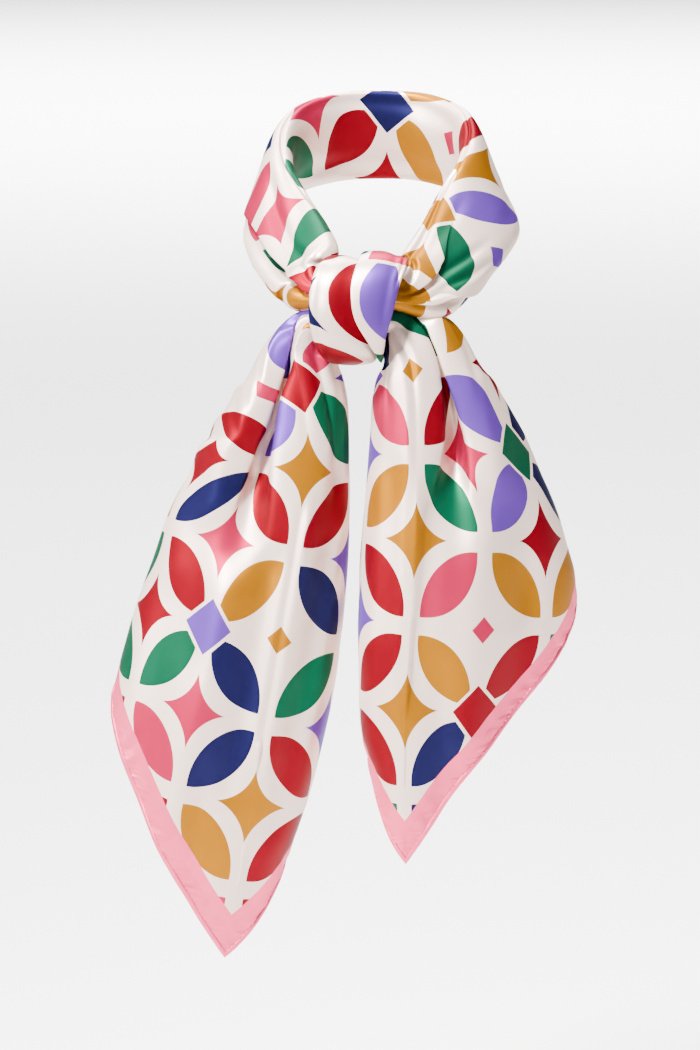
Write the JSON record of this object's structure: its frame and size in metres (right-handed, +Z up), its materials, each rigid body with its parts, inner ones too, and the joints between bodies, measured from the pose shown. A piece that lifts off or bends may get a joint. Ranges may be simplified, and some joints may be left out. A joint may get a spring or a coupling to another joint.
{
  "type": "silk square scarf",
  "caption": "Silk square scarf with a bright geometric print and plain border, rolled round the neck and knotted in front with two pointed ends hanging.",
  "frame": {"origin": "middle of the neck opening, where the wearer's neck holds the scarf", "axes": "+Z up, -Y to the wearer's front, where the knot is, +X to the right as the scarf is seen from the front"},
  "size_m": [0.2721, 0.179, 0.4994],
  "materials": {
    "printed_silk": "satin-faced printed silk"
  },
  "bodies": {
    "root": {"neck_roll": "printed_silk", "knot_wrap": "printed_silk", "knot_core": "printed_silk", "left_end": "printed_silk", "right_end": "printed_silk"}
  },
  "joints": []
}
